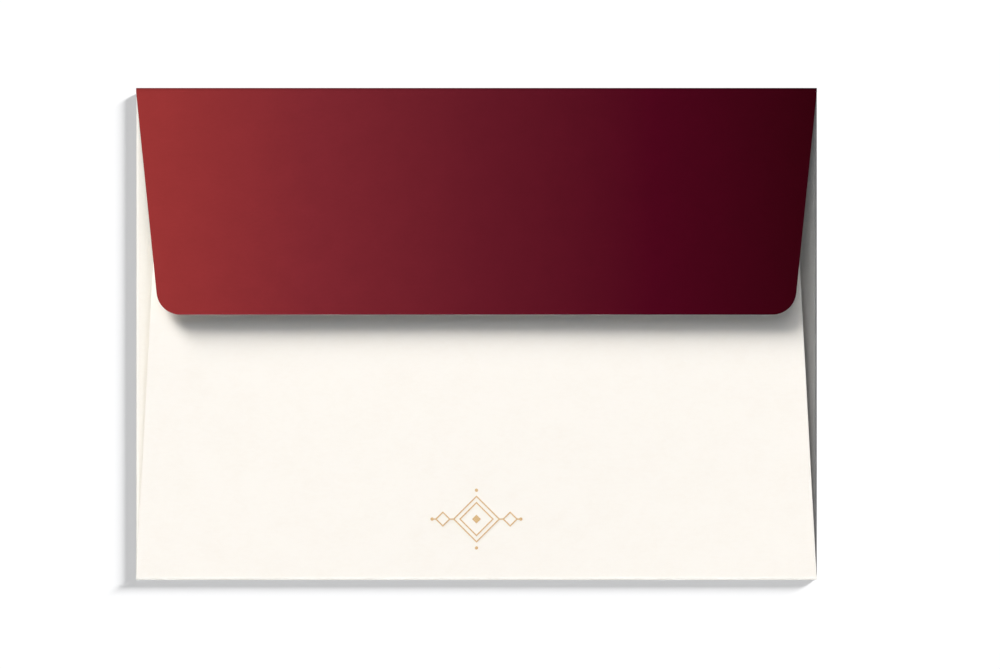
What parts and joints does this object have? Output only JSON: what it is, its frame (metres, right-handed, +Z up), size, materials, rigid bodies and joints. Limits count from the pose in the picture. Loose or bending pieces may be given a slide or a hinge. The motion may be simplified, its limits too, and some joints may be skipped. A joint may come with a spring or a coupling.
{
  "type": "gift envelope",
  "caption": "Folded paper gift envelope with glued side seams, a pocket for a greeting card and a closing flap that turns on its fold.",
  "frame": {"origin": "centre of the address side, on the surface that the envelope lies on", "axes": "+X along the long edge to the right, +Y towards the closing flap's fold, +Z up from the address side towards the closing flap"},
  "size_m": [0.184, 0.133, 0.0087],
  "materials": {
    "envelope_paper": "uncoated ivory text paper, matte",
    "printed_paper": "uncoated ivory paper, printed outside with a wine-red blend",
    "seam_glue": "dried dextrin paste",
    "seal_gum": "dry remoistenable gum, satin",
    "gold_foil": "hot-stamped pale gold foil"
  },
  "bodies": {
    "pocket": {"front_panel": "envelope_paper", "bottom_fold": "envelope_paper", "back_panel": "envelope_paper", "left_fold": "envelope_paper", "right_fold": "envelope_paper", "left_side_flap": "envelope_paper", "right_side_flap": "envelope_paper", "left_seam_glue": "seam_glue", "right_seam_glue": "seam_glue", "top_fold": "printed_paper", "foil_ornament": "gold_foil"},
    "flap": {"closing_flap": "printed_paper", "flap_gum": "seal_gum"}
  },
  "joints": [
    {"name": "flap_hinge", "type": "hinge", "parent": "pocket", "child": "flap", "pos_m": [0, 0.0654, 0.0011], "axis": [-1, 0, 0], "range_deg": [0, 173.8], "deforming": ["top_fold"]}
  ]
}
